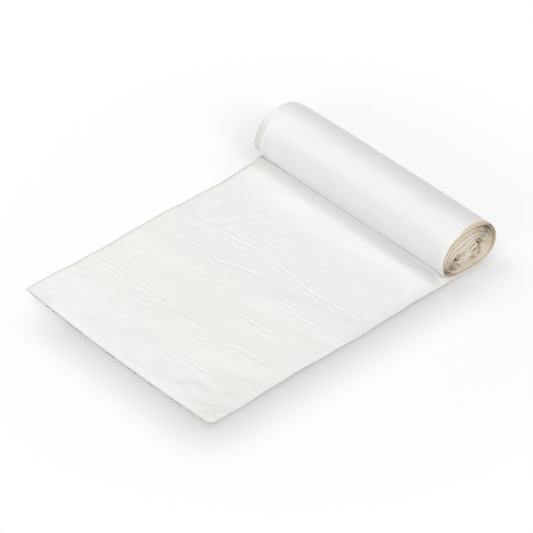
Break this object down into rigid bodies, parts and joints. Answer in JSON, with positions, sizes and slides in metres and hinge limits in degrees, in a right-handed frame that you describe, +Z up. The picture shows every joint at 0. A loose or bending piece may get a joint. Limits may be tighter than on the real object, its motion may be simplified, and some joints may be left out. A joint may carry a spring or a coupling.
{
  "type": "bin bag roll",
  "caption": "Coreless roll of folded film bin liners, squashed to an oval, with a flat creased tail drawn off and torn along its perforation.",
  "frame": {"origin": "on the table under the middle of the roll, at mid width of the web", "axes": "+X from the torn end of the web towards the roll, +Y along the roll's axis, +Z up"},
  "size_m": [0.2298, 0.1662, 0.0331],
  "materials": {
    "film": "satin white polyethylene film, slightly translucent at single layers"
  },
  "bodies": {
    "root": {"bag_roll": "film"}
  },
  "joints": []
}
